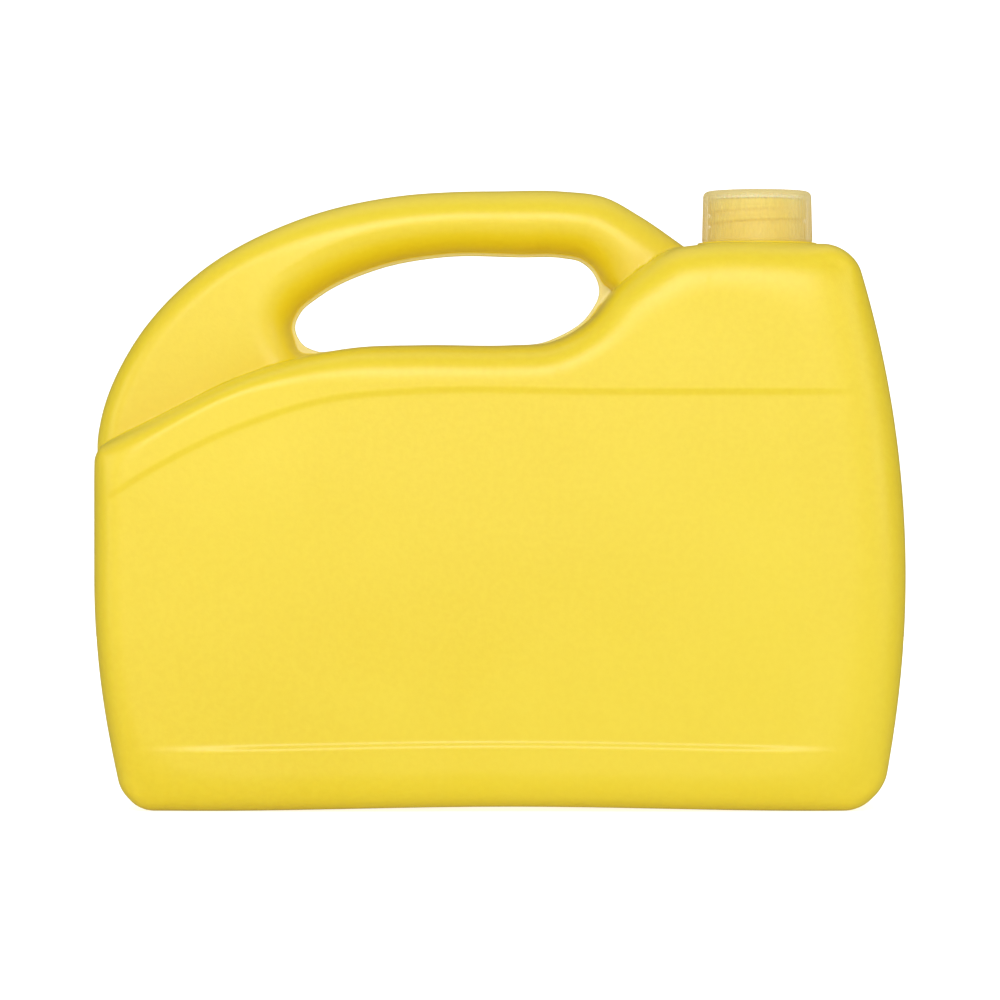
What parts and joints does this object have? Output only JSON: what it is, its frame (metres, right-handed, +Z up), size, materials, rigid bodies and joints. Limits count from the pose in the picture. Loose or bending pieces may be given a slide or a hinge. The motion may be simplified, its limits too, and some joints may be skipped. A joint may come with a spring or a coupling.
{
  "type": "jerry can",
  "caption": "Flat blow-moulded jerry can with a moulded-in hollow handle, a threaded neck at one end of the shoulder, a translucent screw cap and a foam sealing disc.",
  "frame": {"origin": "on the ground at the middle of the base, in the can's parting plane", "axes": "+Z up, +X towards the end with the neck, -Y towards the front; the can's parting plane is y = 0"},
  "size_m": [0.3102, 0.102, 0.2366],
  "materials": {
    "can_plastic": "satin",
    "cap_plastic": "satin",
    "disc_foam": "matte"
  },
  "bodies": {
    "can": {"can_body": "can_plastic"},
    "seal": {"sealing_disc": "disc_foam"},
    "cap": {"screw_cap": "cap_plastic"}
  },
  "joints": [
    {"name": "seal_rise", "type": "slide", "parent": "can", "child": "seal", "axis": [0, 0, 1], "range_m": [0, 0.0191]},
    {"name": "cap_turn", "type": "hinge", "parent": "seal", "child": "cap", "pos_m": [0.099, 0, 0.2264], "axis": [0, 0, 1], "range_deg": [0, 1620]}
  ],
  "couplings": [
    {"joint": "seal_rise", "follows": "cap_turn", "m_per_rad": 0.00067323}
  ]
}
